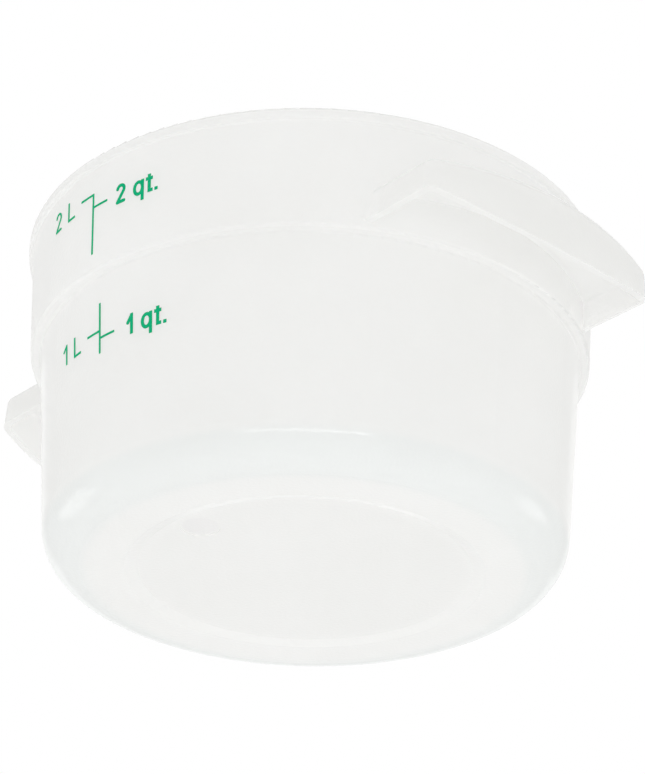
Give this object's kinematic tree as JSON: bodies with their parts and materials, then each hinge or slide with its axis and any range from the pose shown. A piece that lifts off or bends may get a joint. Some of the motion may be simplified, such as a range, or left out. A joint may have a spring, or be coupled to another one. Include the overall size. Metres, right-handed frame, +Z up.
{
  "type": "round food storage container",
  "caption": "Round translucent plastic food storage container with a stepped side, a beaded rim, hooded side handles and a printed volume scale.",
  "frame": {"origin": "centre of the foot, on the surface that the container stands on", "axes": "+Z up to the open mouth, +X out through the middle of one handle, the printed scale faces -Y"},
  "size_m": [0.222, 0.1828, 0.1095],
  "materials": {
    "polypropylene": "milky translucent moulded polypropylene, fine satin surface",
    "scale_ink": "matt green printed ink"
  },
  "bodies": {
    "root": {"container": "polypropylene", "two_scale_line": "scale_ink", "two_litre_digit": "scale_ink", "two_litre_letter": "scale_ink", "two_quart_digit": "scale_ink", "two_quart_q": "scale_ink", "two_quart_t": "scale_ink", "two_quart_stop": "scale_ink", "one_scale_line": "scale_ink", "one_litre_digit": "scale_ink", "one_litre_letter": "scale_ink", "one_quart_digit": "scale_ink", "one_quart_q": "scale_ink", "one_quart_t": "scale_ink", "one_quart_stop": "scale_ink"}
  },
  "joints": []
}
